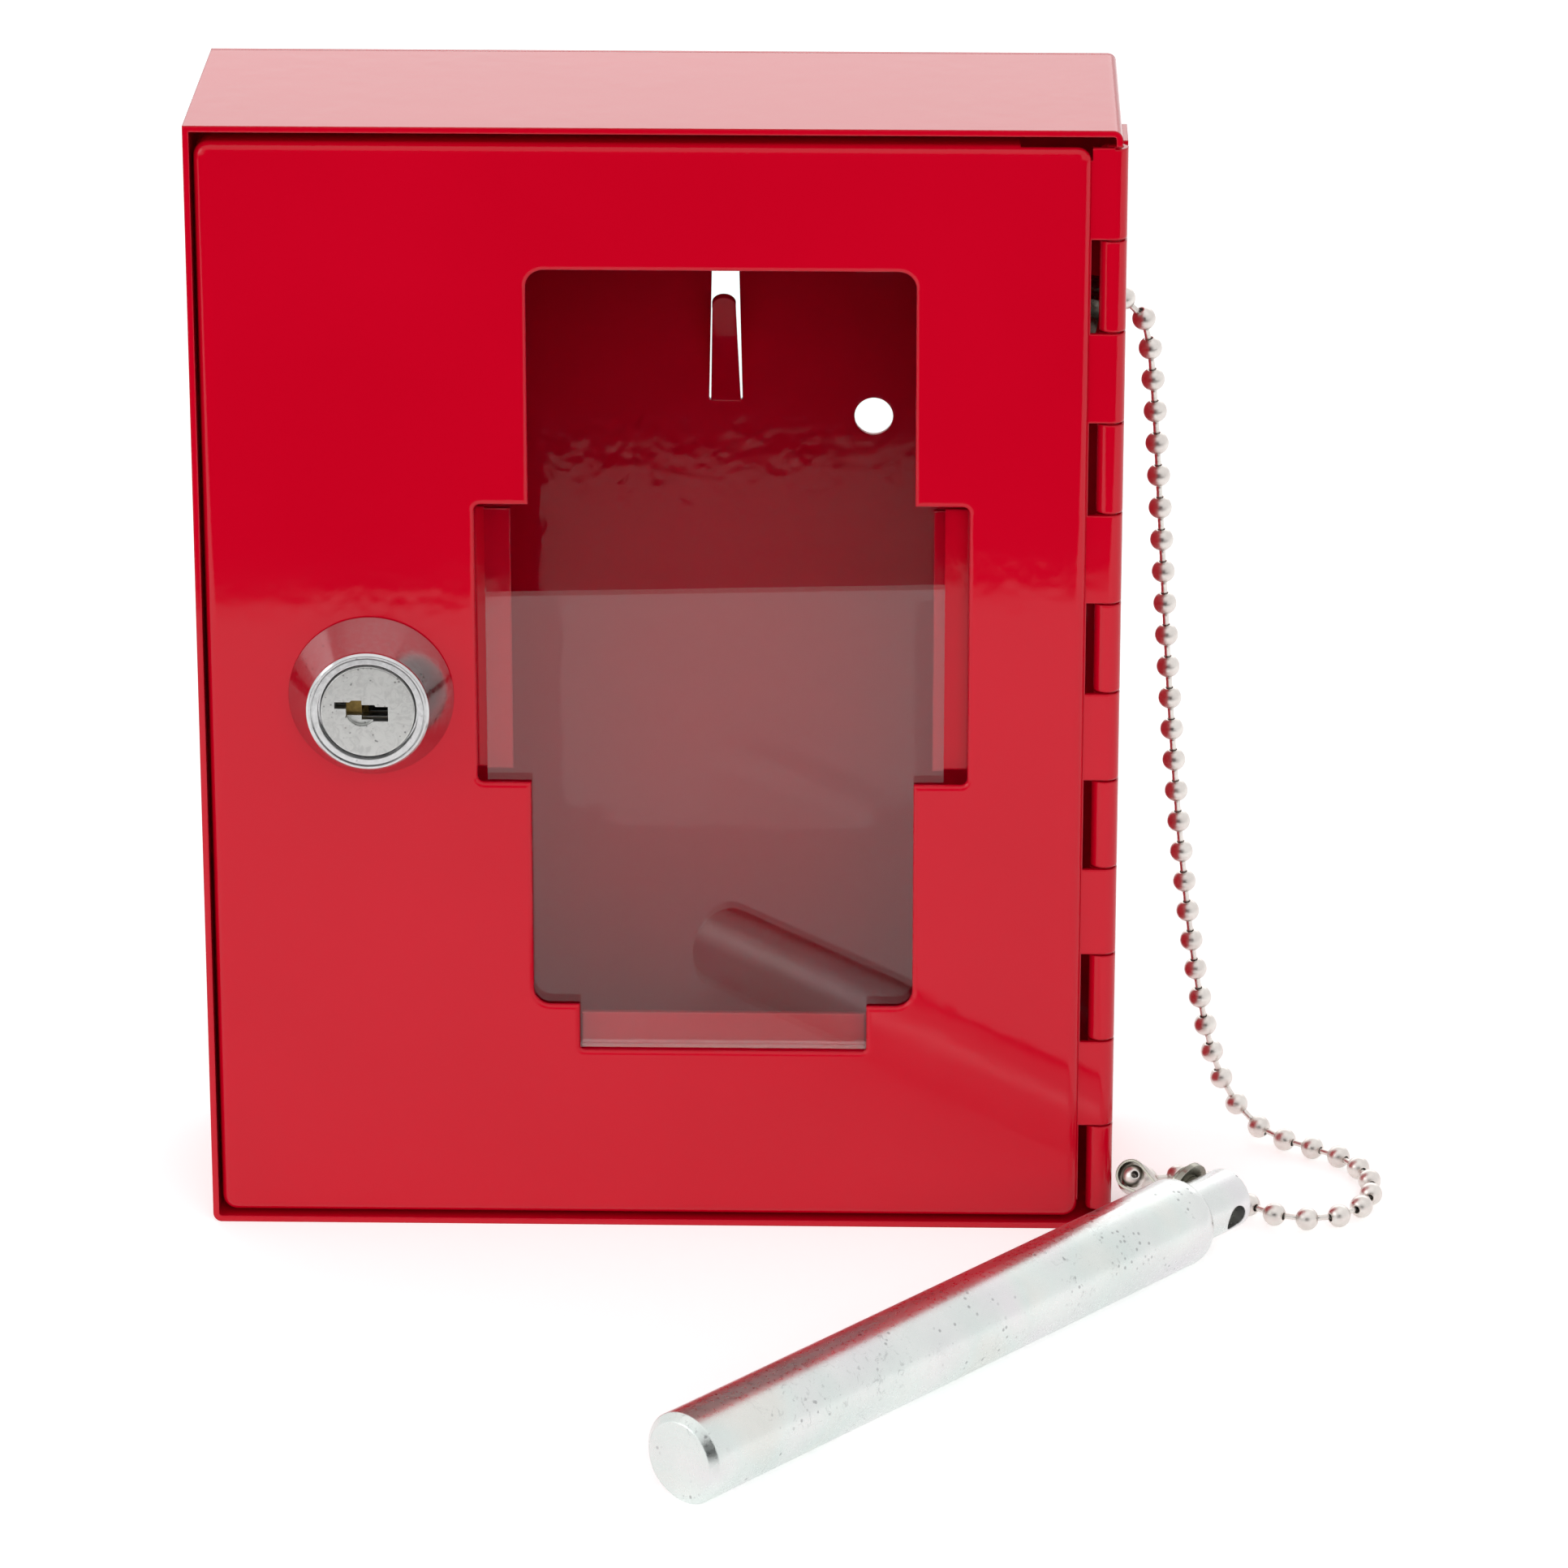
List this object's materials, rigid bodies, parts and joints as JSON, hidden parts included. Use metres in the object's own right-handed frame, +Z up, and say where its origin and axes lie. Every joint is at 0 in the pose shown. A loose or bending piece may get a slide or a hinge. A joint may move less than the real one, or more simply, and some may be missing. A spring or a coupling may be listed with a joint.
{
  "type": "break glass key box",
  "caption": "Red sheet steel key box with a hinged windowed door, a glass pane, a cam lock, a lanced key hook, and a striker bar on a ball chain.",
  "frame": {"origin": "centre of the case's bottom face, on the surface that the box stands on", "axes": "+X to the right as seen from the front, +Y back into the box towards the wall, +Z up"},
  "size_m": [0.1577, 0.1294, 0.152],
  "materials": {
    "red_enamel": "gloss red enamel over sheet steel",
    "clear_glass": "clear float glass",
    "bezel_chrome": "bright chrome plate",
    "plug_face": "satin nickel plate with fine pits",
    "wafer_brass": "plain brass",
    "zinc_hardware": "bright zinc plate",
    "zinc_bar": "clear zinc plate with pits and a faint iridescence",
    "clip_steel": "dull spring steel",
    "chain_nickel": "nickel plate"
  },
  "bodies": {
    "case": {"case_wrap": "red_enamel", "back_plate": "red_enamel", "cam_strike": "red_enamel", "hinge_leaf_case": "red_enamel", "hinge_pin": "red_enamel", "chain_clip_case": "clip_steel", "chain_clip_bar": "clip_steel", "chain_beads": "chain_nickel", "chain_links": "chain_nickel"},
    "door": {"door_panel": "red_enamel", "glass_pane": "clear_glass", "hinge_leaf_door": "red_enamel", "lock_housing": "bezel_chrome", "lock_washer": "zinc_hardware", "lock_nut": "zinc_hardware"},
    "cylinder": {"lock_plug": "plug_face", "lock_wafers": "wafer_brass", "lock_cam": "zinc_hardware", "cam_washer": "zinc_hardware", "cam_screw": "zinc_hardware"},
    "bar": {"striker_bar": "zinc_bar", "clip_rivet": "clip_steel"}
  },
  "joints": [
    {"name": "door_hinge", "type": "hinge", "parent": "case", "child": "door", "pos_m": [0.05905, -0.01745, 0.0759], "axis": [0, 0, 1], "range_deg": [0, 50]},
    {"name": "lock_turn", "type": "hinge", "parent": "door", "child": "cylinder", "pos_m": [-0.03725, -0.02, 0.0753], "axis": [0, -1, 0], "range_deg": [0, 90]},
    {"name": "bar_pivot", "type": "hinge", "parent": "case", "child": "bar", "pos_m": [0.07427, -0.02508, 0.006], "axis": [-0.7378, 0.6235, 0.2588], "range_deg": [0, 60]}
  ]
}
